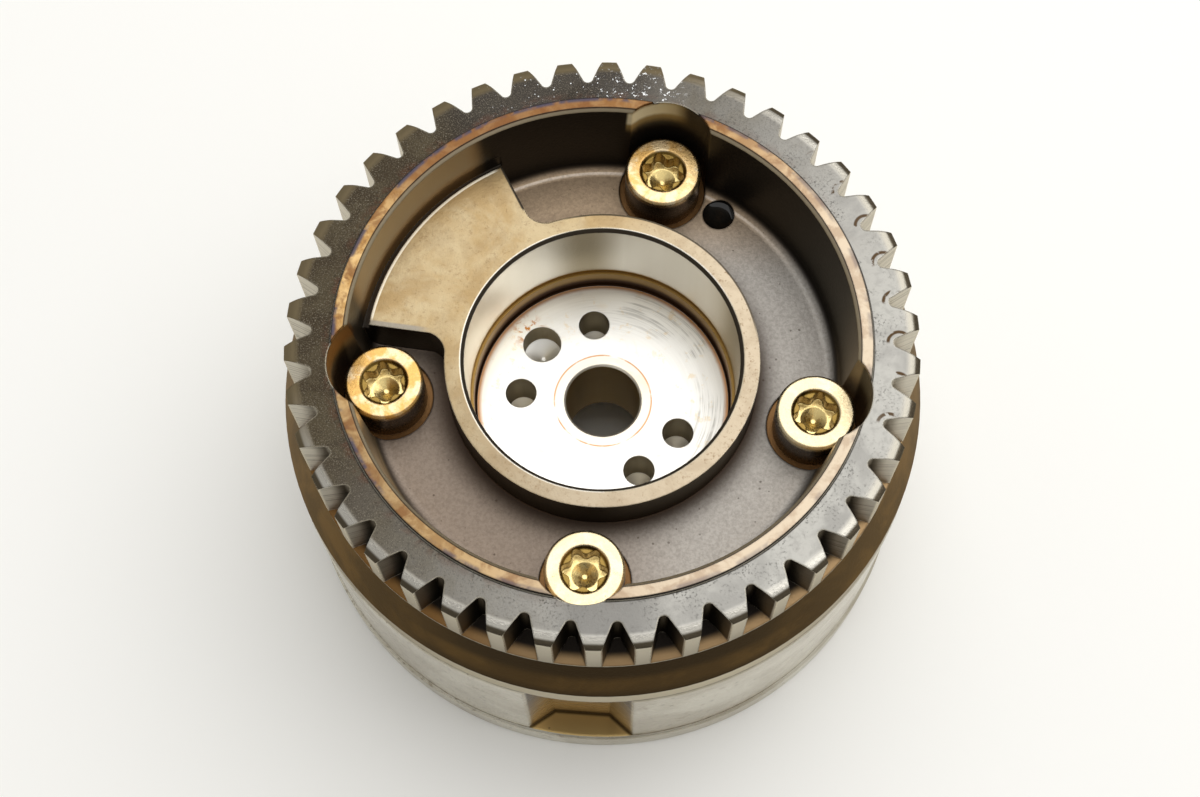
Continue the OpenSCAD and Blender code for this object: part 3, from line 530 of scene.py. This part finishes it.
                            ("rimFar", "rimBrown"), ("rimStain", "rimBrown"), ("rimTint", "rimBlue")]),
        "faceTone": ("faceDark", [("bare", "faceBare"), ("faceCloud", "faceOlive"), ("faceFar", "wall"),
                                  ("faceNear", "mottle"), ("faceRim", "faceRust")]),
        "crownLitTone": ("crownBareLit", [("crownSide", "crownRight"), ("crownEndShade", "crownEndShade")]),
        "crownTone": ("crownOlive", [("crownBareLit", "crownLitTone")]),
        "flankTone": ("flank", [("flankShade", "flankDark"), ("flankStreaks", "root"), ("flankRoot", "root"),
                                ("flankTip", "tip")]),
        "gapTone": ("gapFloor", [("gapLeft", "gapOrange"), ("gapDeep", "root")]),
        "coneTone": ("cone", [("conePaintedLight", "coneLit")]),
        "landTone": ("land", [("landShadedSides", "landShade")]),
        "boreTone": ("bore", [("boreReflectionShade", "boreBandShade"), ("boreShade", "boreShade"), ("boreFoot", "boreFoot")]),
    },
    # mask, colour, roughness and metal, each zone over the ones before it; a name stands for its mask's value
    "zones": [
        ("wallNear", "wallNearLit", 0.4, 0.85), ("wallLeft", "wallSectorReflection", 0.4, 0.85),
        ("wallTop", "wallTopLit", 0.4, 0.85), ("leftRelief", "reliefBrown", 0.4, 0.8),
        ("topRelief", "reliefTone", 0.34, 0.25),
        ("floor", "floorTone", 0.46, 0.75), ("seat", "seat", 0.35, 0.85), ("hub", "hubTone", 0.38, 0.9),
        ("sectorBevel", "sectorBevelSheen", 0.4, 0.9), ("sectorHighlight", "sectorHighlight", 0.4, 0.35),
        ("outline", "boreEdge", 0.5, 0.6), ("rim", "rimTone", 0.32, 0.95), ("chamfer", "chamfer", 0.36, 0.8),
        ("flank", "flankTone", 0.36, 0.95), ("gapFloor", "gapTone", 0.35, 0.9),
        ("cone", "coneTone", 0.52, 0.96), ("land", "landTone", 0.3, 1.0), ("bore", "boreTone", 0.3, 1.0),
        ("boreEdge", "boreEdge", 0.5, 0.5),
        ("face", "faceTone", "faceRough", "faceMetal"), ("crown", "crownTone", "crownRough", 1.0),
        ("lines", "line", 0.5, 0.2),
    ],
    # marks over all zones, with their colours
    "marks": [
        ("flecks", "fleck"), ("pitDark", "pit"), ("mottled", "mottle"), ("oilEdge", "oilEdge"),
        ("floorGrain", "floorShadeAndSpeck"), ("floorSpecks", "floorShadeAndSpeck"), ("glintShine", "glint"),
        ("edgeWearAndHighlight", "edge"),
    ],
}


def measureTeeth(tree, at, look):
    # place in the nearest tooth gap, and the distance from the middle of its root
    steps = calc(tree, "DIVIDE", calc(tree, "SUBTRACT", at["azimuth"], look["toothPlace"]), look["toothStep"])
    halfStep = 0.5
    offMiddle = calc(tree, "SUBTRACT", calc(tree, "FRACT", steps), halfStep)
    turnOff = times(tree, offMiddle, math.radians(look["toothStep"]))
    sideways = times(tree, at["radius"], calc(tree, "SINE", turnOff))
    outwards = times(tree, at["radius"], calc(tree, "COSINE", turnOff))
    outwards = calc(tree, "SUBTRACT", outwards, look["rootCentre"])
    square = calc(tree, "ADD", times(tree, sideways, sideways), times(tree, outwards, outwards))
    at["sideways"] = sideways
    at["toRoot"] = calc(tree, "SQRT", square)


def measureSprocket(tree, at, look):
    start, end = math.radians(look["sectorStart"]), math.radians(look["sectorEnd"])
    at["across"] = along(tree, at, wipedWay)
    at["aside"] = calc(tree, "ABSOLUTE", at["x"])
    at["toTopScrew"] = distance(tree, at["plan"], look["topScrew"])
    at["toLeftScrew"] = distance(tree, at["plan"], look["leftScrew"])
    at["fromStart"] = along(tree, at, (math.cos(start), -math.sin(start)))
    at["fromEnd"] = along(tree, at, (-math.cos(end), math.sin(end)))
    at["streaks"] = toolMarks(tree, at, "height", look["streakPitch"])
    noise = addNode(tree, "ShaderNodeTexNoise", {"Vector": at["place"], **look["wrinkle"]})
    at["wrinkle"] = noise.outputs["Fac"]
    measureTeeth(tree, at, look)


def makeSprocketSteel():
    look = sprocketLook
    material, tree, shader, at = newMaterial("sprocketSteel")
    smoothed = roundedEdges(tree, look["edge"])
    worn = useGroup(tree, wornEdge, Place=at["place"], Smoothed=smoothed, Reach=look["wear"])
    at["worn"] = worn.outputs["Mask"]
    measureSprocket(tree, at, look)
    addMasks(tree, at, look["masks"])
    colors = addTones(tree, at, look)
    color = colors["wallTone"]
    rough, metal = look["wallFinish"]
    for mask, tint, zoneRough, zoneMetal in look["zones"]:
        color = blendColor(tree, at[mask], color, colors[tint])
        rough = blendValue(tree, at[mask], rough, at.get(zoneRough, zoneRough))
        metal = blendValue(tree, at[mask], metal, at.get(zoneMetal, zoneMetal))
    for mask, tint in look["marks"]:
        color = blendColor(tree, at[mask], color, colors[tint])
    glintRough, glintMetal = look["glintFinish"]
    rough = blendValue(tree, at["glints"], rough, glintRough)
    rough = blendValue(tree, at["wornEdges"], rough, look["wornRough"])
    metal = blendValue(tree, at["glints"], metal, glintMetal)
    relief = calc(tree, "ADD", at["grainBump"], calc(tree, "SUBTRACT", at["wrinkleBump"], at["pits"]))
    feed(tree, color, shader.inputs["Base Color"])
    feed(tree, rough, shader.inputs["Roughness"])
    feed(tree, metal, shader.inputs["Metallic"])
    feed(tree, bumped(tree, relief, look["bump"], smoothed), shader.inputs["Normal"])
    feed(tree, at["oilFilm"], shader.inputs["Coat Weight"])
    shader.inputs["Coat Roughness"].default_value = look["coatRough"]
    # keeps the edges of the brown zones warm
    shader.inputs["Specular Tint"].default_value = look["warmEdge"]
    return material


# the other steels take their colour from one tone and are metal all over

def finishSteel(tree, shader, at, look, tone, height):
    colors = addTones(tree, at, look)
    feed(tree, colors[tone], shader.inputs["Base Color"])
    feed(tree, at["rough"], shader.inputs["Roughness"])
    shader.inputs["Metallic"].default_value = 1.0
    normal = bumped(tree, at[height], look["bump"], roundedEdges(tree, look["edge"]))
    feed(tree, normal, shader.inputs["Normal"])


# drum and front plate: fine turned steel with specks and brown stains, and a painted shadow line round the
# notch floor

drumLook = {
    "markPitch": 0.35, "edge": 0.6 * mm, "bump": (0.12, 0.1 * mm),
    "notchAz": 185.2, "notchBack": 41.7, "notchHalf": 4.1, "notchSlope": 1.29, "notchLean": 0.61,
    "colors": {
        "steel": srgb(216, 211, 196), "shadow": srgb(186, 178, 160), "brown": srgb(128, 104, 68),
        "notchTop": srgb(62, 45, 24), "notch": srgb(140, 112, 68), "notchFloor": srgb(196, 168, 112),
        "notchShadow": srgb(34, 24, 12), "speck": srgb(96, 82, 60), "seam": srgb(30, 26, 22),
    },
    "masks": {
        "side": {"rises": [("radius", 44.6, 44.95)]},
        "inside": {"off": ["side"]},
        "cloudy": {"cloud": (0.06, 0.4, 0.65, 2.0)},
        "markShade": {"on": ["marks"], "share": 0.35},
        "dirt": {"grit": (0.35, 0.58, 0.7), "share": 0.5},
        "crumbs": {"grit": (2.2, 0.62, 0.7), "share": 0.5},
        "notchHigh": {"rises": [("height", 10.0, 27.0)]},
        "plateTop": {"rises": [("up", 0.7, 0.95), ("height", 5.2, 5.05)]},
        # painted shadow: a dark line along the back and slanted edges of the plate's top in the notch
        "notchShadowLine": {"on": ["plateTop"], "rises": [("toNotchEdge", 0.6, 0.15)], "share": 0.85},
        "seam": {"bands": [("height", 29.8, 30.3, 0.06)], "share": 0.85},
        "dots": {"on": ["side"], "grit": (2.0, 0.57, 0.63), "rises": [("x", -4.0, -26.0)], "share": 0.85},
        "flecks": {"specks": (0.8, 0.22, 0.25), "share": 0.5},
        "rough": {"blends": [("marks", 0.2, 0.36)]},
    },
    "tones": {
        "notchTone": ("notch", [("notchHigh", "notchTop")]),
        "drumTone": ("steel", [("cloudy", "shadow"), ("markShade", "shadow"), ("dirt", "brown"),
                               ("crumbs", "speck"), ("inside", "notchTone"), ("plateTop", "notchFloor"),
                               ("notchShadowLine", "notchShadow"), ("seam", "seam"), ("dots", "speck"),
                               ("flecks", "speck")]),
    },
}


def makeDrumSteel():
    look = drumLook
    material, tree, shader, at = newMaterial("drumSteel")
    at["marks"] = toolMarks(tree, at, "height", look["markPitch"])
    turn = math.radians(look["notchAz"])
    outwards = along(tree, at, (math.sin(turn), math.cos(turn)))
    sideways = calc(tree, "ABSOLUTE", along(tree, at, (math.cos(turn), -math.sin(turn))))
    fromBack = calc(tree, "SUBTRACT", outwards, look["notchBack"])
    halfWidth = calc(tree, "ADD", times(tree, fromBack, look["notchSlope"]), look["notchHalf"])
    fromSide = times(tree, calc(tree, "SUBTRACT", halfWidth, sideways), look["notchLean"])
    at["toNotchEdge"] = calc(tree, "MINIMUM", fromBack, fromSide)
    addMasks(tree, at, look["masks"])
    finishSteel(tree, shader, at, look, "drumTone", "marks")
    return material


# rotor: bright turned cam face with a few amber oil stains and a painted sheen on turning arcs

rotorLook = {
    "markPitch": 0.28, "arcPitch": 0.4, "stainPlace": (-10.9, 11.2, 26.35), "arcWay": (0.85, 0.5),
    "edge": 0.2 * mm, "bump": (0.1, 0.1 * mm), "markRough": (0.34, 0.5), "arcRough": 0.52,
    "colors": {
        "steel": srgb(238, 236, 230), "markShade": srgb(190, 184, 172), "turned": srgb(150, 146, 138),
        "amber": srgb(186, 122, 46), "pale": srgb(222, 190, 124), "groove": srgb(44, 28, 14),
        "grooveTop": srgb(150, 122, 72), "hole": srgb(160, 148, 122), "boltHole": srgb(186, 160, 106),
        "drillEnd": srgb(250, 248, 242),
    },
    "masks": {
        "level": {"rises": [("up", 0.75, 0.95)]},
        "camFace": {"on": ["level"], "bands": [("height", 26.2, 26.6)]},
        "markShade": {"on": ["marks"], "share": 0.12},
        "yellowing": {"on": ["camFace"], "cloud": (0.2, 0.58, 0.72, 6.0), "share": 0.2},
        # turning arcs on the upper right of the cam face: rougher, and painted grey as the sheen they catch
        "arcs": {"on": ["camFace"], "cloud": (0.11, 0.4, 0.56, 61.0),
                 "rises": [("arcHeight", 0.46, 0.62), ("radius", 9.5, 15.5), ("topRight", 0.0, 14.0)]},
        "arcShade": {"on": ["arcs"], "share": 0.5},
        "smear": {"on": ["camFace"], "grit": (0.5, 0.56, 0.66), "rises": [("radius", 8.0, 12.0)],
                  "share": 0.35},
        "ring": {"on": ["camFace"], "bands": [("radius", 6.95, 7.2, 0.1)], "cloud": (0.3, 0.3, 0.55, 3.0),
                 "share": 0.85},
        "outerEdge": {"on": ["camFace"], "rises": [("radius", 17.5, 18.2)], "share": 0.85},
        "middle": {"on": ["camFace"], "rises": [("radius", 7.0, 6.8)], "share": 0.3},
        "streak": {"on": ["camFace"], "rises": [("toStain", 3.2, 0.8)], "cloud": (0.9, 0.46, 0.6, 11.0)},
        "hole": {"rises": [("height", 26.3, 26.1), ("radius", 17.0, 16.0)]},
        "boltHole": {"rises": [("radius", 6.2, 5.8)]},
        "holeEnd": {"rises": [("up", 0.5, 0.8)]},
        "groove": {"rises": [("radius", 18.2, 18.35), ("height", 30.2, 30.1), ("height", 26.0, 26.2)]},
        "grooveHigh": {"rises": [("height", 27.6, 29.0)]},
    },
    "tones": {
        "holeTone": ("hole", [("boltHole", "boltHole"), ("holeEnd", "drillEnd")]),
        "grooveTone": ("groove", [("grooveHigh", "grooveTop")]),
        "rotorTone": ("steel", [("markShade", "markShade"), ("yellowing", "pale"), ("arcShade", "turned"),
                                ("smear", "pale"), ("ring", "amber"), ("outerEdge", "amber"),
                                ("middle", "pale"), ("streak", "amber"), ("hole", "holeTone"),
                                ("groove", "grooveTone")]),
    },
}


def makeRotorSteel():
    look = rotorLook
    material, tree, shader, at = newMaterial("rotorSteel")
    at["marks"] = toolMarks(tree, at, "radius", look["markPitch"])
    at["arcHeight"] = toolMarks(tree, at, "radius", look["arcPitch"])
    at["topRight"] = along(tree, at, look["arcWay"])
    at["toStain"] = distance(tree, at["place"], look["stainPlace"])
    addMasks(tree, at, look["masks"])
    turnedRough = blendValue(tree, at["marks"], *look["markRough"])
    at["rough"] = blendValue(tree, at["arcs"], turnedRough, look["arcRough"])
    finishSteel(tree, shader, at, look, "rotorTone", "marks")
    return material


# clamp screws: yellow zinc, oily and painted darker down the sides, with painted shade in the sockets and a
# painted highlight at their ends

screwLook = {
    "circle": 30.1, "azimuths": (17.7, 106.3, 185.3, 264.3), "edge": 0.3 * mm, "bump": (0.08, 0.1 * mm),
    "colors": {
        "zinc": srgb(206, 164, 96), "zincPale": srgb(222, 204, 164), "highlight": srgb(232, 216, 182),
        "side": srgb(66, 48, 28), "socket": srgb(128, 102, 48), "bottom": srgb(252, 226, 156),
        "fleck": srgb(120, 90, 46),
    },
    "masks": {
        "facing": {"rises": [("up", 0.3, 0.6)]},
        "wiped": {"rises": [("across", -14.0, 14.0)]},
        "shine": {"cloud": (0.35, 0.46, 0.64, 6.0), "share": 0.7},
        "flecks": {"grit": (2.6, 0.58, 0.7), "share": 0.45},
        "deep": {"rises": [("height", 42.5, 41.4)]},
        # painted shade with oil: the lower sides of the heads darker; painted shade in the sockets and a
        # painted highlight at their bottoms
        "shadedOilySide": {"on": ["deep"], "off": ["facing"]},
        "socket": {"rises": [("fromAxis", 3.5, 3.3), ("height", 42.8, 42.6)]},
        "litSocketEnd": {"on": ["socket", "facing", "deep"]},
        "grain": {"cloud": (2.5, 0.3, 0.7, 2.0)},
        "rough": {"blends": [("grain", 0.24, 0.36)]},
    },
    "tones": {
        "screwTone": ("zinc", [("wiped", "zincPale"), ("shine", "highlight"), ("flecks", "fleck"),
                               ("shadedOilySide", "side"), ("socket", "socket"), ("litSocketEnd", "bottom")]),
    },
}


def makeZincScrew():
    look = screwLook
    material, tree, shader, at = newMaterial("zincScrew")
    at["across"] = along(tree, at, wipedWay)
    fromAxis = None                                  # distance from the nearest screw's own axis
    for azimuth in look["azimuths"]:
        turn = math.radians(azimuth)
        axis = (look["circle"] * math.sin(turn), look["circle"] * math.cos(turn), 0)
        away = distance(tree, at["plan"], axis)
        fromAxis = away if fromAxis is None else calc(tree, "MINIMUM", fromAxis, away)
    at["fromAxis"] = fromAxis
    addMasks(tree, at, look["masks"])
    finishSteel(tree, shader, at, look, "screwTone", "grain")
    return material


# hidden pieces: seals, springs and pin

innerLooks = {
    "sealPlastic": {"light": srgb(48, 42, 36), "dark": srgb(34, 30, 26), "metal": 0.0,
                    "rough": (0.45, 0.6), "cloud": (1.2, 0.35, 0.65, 7.0)},
    "springSteel": {"light": srgb(176, 176, 178), "dark": srgb(140, 136, 130), "metal": 1.0,
                    "rough": (0.25, 0.4), "cloud": (0.8, 0.35, 0.65, 7.0)},
    "pinSteel": {"light": srgb(186, 184, 180), "dark": srgb(150, 146, 138), "metal": 1.0,
                 "rough": (0.2, 0.35), "cloud": (0.4, 0.35, 0.65, 7.0)},
}


def makeInnerMaterial(name):
    look = innerLooks[name]
    material, tree, shader, at = newMaterial(name)
    patches = cloud(tree, at["place"], *look["cloud"])
    feed(tree, blendColor(tree, patches, look["light"], look["dark"]), shader.inputs["Base Color"])
    feed(tree, blendValue(tree, patches, *look["rough"]), shader.inputs["Roughness"])
    shader.inputs["Metallic"].default_value = look["metal"]
    return material


drumSteel = makeDrumSteel()
nodeMaterials = {"sprocket": makeSprocketSteel(), "housing": drumSteel, "front_plate": drumSteel,
                 "clamp_screws": makeZincScrew(), "vane_rotor": makeRotorSteel()}
sealPlastic, springSteel, pinSteel = (makeInnerMaterial(name) for name in innerLooks)
for name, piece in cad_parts.items():
    if name in nodeMaterials:
        material = nodeMaterials[name]
    elif "seal" in name:
        material = sealPlastic
    elif "leaf" in name or "spring" in name:
        material = springSteel
    else:
        material = pinSteel
    piece.data.materials.clear()
    piece.data.materials.append(material)
print("materials set on", len(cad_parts), "nodes")


# oil that stands in the locating hole

oilPool = {
    "radius": 2.28, "circle": 30.1, "azimuth": 35.0, "level": 36.15, "dip": 0.22, "climb": 4,
    "rings": 7, "sides": 48, "cloud": (0.8, 0.4, 0.7, 1.0),
    "black": srgb(14, 12, 10), "brown": srgb(26, 19, 12), "rough": 0.04, "ior": 1.48, "specular": 0.25,
}


def makeOil():
    material, tree, shader, at = newMaterial("blackOil")
    film = cloud(tree, at["place"], *oilPool["cloud"])
    feed(tree, blendColor(tree, film, oilPool["black"], oilPool["brown"]), shader.inputs["Base Color"])
    shader.inputs["Roughness"].default_value = oilPool["rough"]
    shader.inputs["IOR"].default_value = oilPool["ior"]
    shader.inputs["Specular IOR Level"].default_value = oilPool["specular"]
    return material


def makeOilPool():
    mesh = bpy.data.meshes.new("oil_pool")
    pool = bpy.data.objects.new("oil_pool", mesh)
    scene.collection.objects.link(pool)
    angle = math.radians(oilPool["azimuth"])
    cx, cy = oilPool["circle"] * math.sin(angle), oilPool["circle"] * math.cos(angle)
    sides = oilPool["sides"]
    work = bmesh.new()
    middle = work.verts.new((cx * mm, cy * mm, (oilPool["level"] - oilPool["dip"]) * mm))
    before = None
    for i in range(1, oilPool["rings"] + 1):
        share = i / oilPool["rings"]
        # the oil climbs the wall a little
        z = oilPool["level"] - oilPool["dip"] * (1 - share ** oilPool["climb"])
        ring = []
        for k in range(sides):
            turn = 2 * math.pi * k / sides
            ring.append(work.verts.new(((cx + oilPool["radius"] * share * math.cos(turn)) * mm,
                                        (cy + oilPool["radius"] * share * math.sin(turn)) * mm, z * mm)))
        for k in range(sides):
            after = (k + 1) % sides
            if before is None:
                work.faces.new((middle, ring[k], ring[after]))
            else:
                work.faces.new((before[k], ring[k], ring[after], before[after]))
        before = ring
    for face in work.faces:
        face.smooth = True
    work.to_mesh(mesh)
    work.free()
    mesh.materials.append(makeOil())
    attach(pool, "sprocket_housing")


makeOilPool()
print("oil pool added")


# floor, light and camera

studio = {
    "floorColor": srgb(248, 247, 243), "floorMark": srgb(206, 202, 192), "floorSpecks": (0.08, 0.06, 0.25),
    "floorMarkShare": 0.3, "floorSize": 9.0, "floorRough": 0.5, "floorSpecular": 0.2,
    "worldColor": (1.0, 0.995, 0.98, 1),
    # strength of the world's light by direction: from, to, and the strength at either end
    "overhead": (0.15, 0.9, 0.18, 0.44), "behind": (-0.1, 0.8, 0.0, 0.25),
    "right": (-0.2, 0.8, 0.0, 0.3), "left": (-0.2, -0.8, 0.0, 0.22),
    "front": 0.48, "frontFrom": (-0.7, -0.46), "frontTo": (-0.2, -0.44), "frontHigh": (0.7, 0.85),
    "frontAside": (0.5, 0.3),
    "softbox": (1.3, 1.1), "softboxPlace": (0.26, 0.3, 0.9), "softboxPower": 7.2,
    "lens": 53.7, "sensor": 36, "nearest": 0.01, "cameraPlace": (0, -0.09277, 0.27061),
    "cameraTurn": (20.856, 0.088, -0.931),
}


def makeFloor():
    bpy.ops.mesh.primitive_grid_add(x_subdivisions=2, y_subdivisions=2, size=studio["floorSize"],
                                    location=(0, 0, 0))
    floor = bpy.context.object
    floor.name = "floor"
    material, tree, shader, at = newMaterial("paleTable")
    marks = times(tree, specks(tree, at["place"], *studio["floorSpecks"]), studio["floorMarkShare"])
    color = blendColor(tree, marks, studio["floorColor"], studio["floorMark"])
    feed(tree, color, shader.inputs["Base Color"])
    shader.inputs["Roughness"].default_value = studio["floorRough"]
    shader.inputs["Specular IOR Level"].default_value = studio["floorSpecular"]
    floor.data.materials.append(material)


def makeWorld():
    world = bpy.data.worlds.new("studioWorld")
    scene.world = world
    world.use_nodes = True
    tree = world.node_tree
    background = tree.nodes["Background"]
    background.inputs["Color"].default_value = studio["worldColor"]
    direction = addNode(tree, "ShaderNodeTexCoord").outputs["Generated"]
    x, y, z = addNode(tree, "ShaderNodeSeparateXYZ", {0: direction}).outputs
    overhead = rise(tree, z, *studio["overhead"])
    behind = rise(tree, y, *studio["behind"])            # the room is darker on the camera's side
    sides = calc(tree, "ADD", rise(tree, x, *studio["right"]), rise(tree, x, *studio["left"]))
    front = times(tree, rise(tree, y, *studio["frontFrom"]), rise(tree, y, *studio["frontTo"]),
                  rise(tree, z, *studio["frontHigh"]),
                  rise(tree, calc(tree, "ABSOLUTE", x), *studio["frontAside"]), studio["front"])
    strength = overhead
    for part in (front, behind, sides):
        strength = calc(tree, "ADD", strength, part)
    feed(tree, strength, background.inputs["Strength"])


def makeSoftbox():
    lamp = bpy.data.lights.new("softbox", "AREA")
    lamp.shape = "RECTANGLE"
    lamp.size, lamp.size_y = studio["softbox"]
    lamp.energy = studio["softboxPower"]
    box = bpy.data.objects.new("softbox", lamp)
    scene.collection.objects.link(box)
    box.location = studio["softboxPlace"]
    x, y, z = studio["softboxPlace"]
    box.rotation_euler = (-math.atan2(y, z), math.atan2(x, math.hypot(y, z)), 0)   # looks at the part


def makeCamera():
    lens = bpy.data.cameras.new("camera")
    lens.lens = studio["lens"]
    lens.sensor_width = studio["sensor"]
    lens.sensor_fit = "HORIZONTAL"
    lens.clip_start = studio["nearest"]
    camera = bpy.data.objects.new("camera", lens)
    scene.collection.objects.link(camera)
    camera.location = studio["cameraPlace"]
    camera.rotation_mode = "ZYX"
    camera.rotation_euler = [math.radians(angle) for angle in studio["cameraTurn"]]
    scene.camera = camera


makeFloor()
makeWorld()
makeSoftbox()
makeCamera()
print("floor, light and camera set")
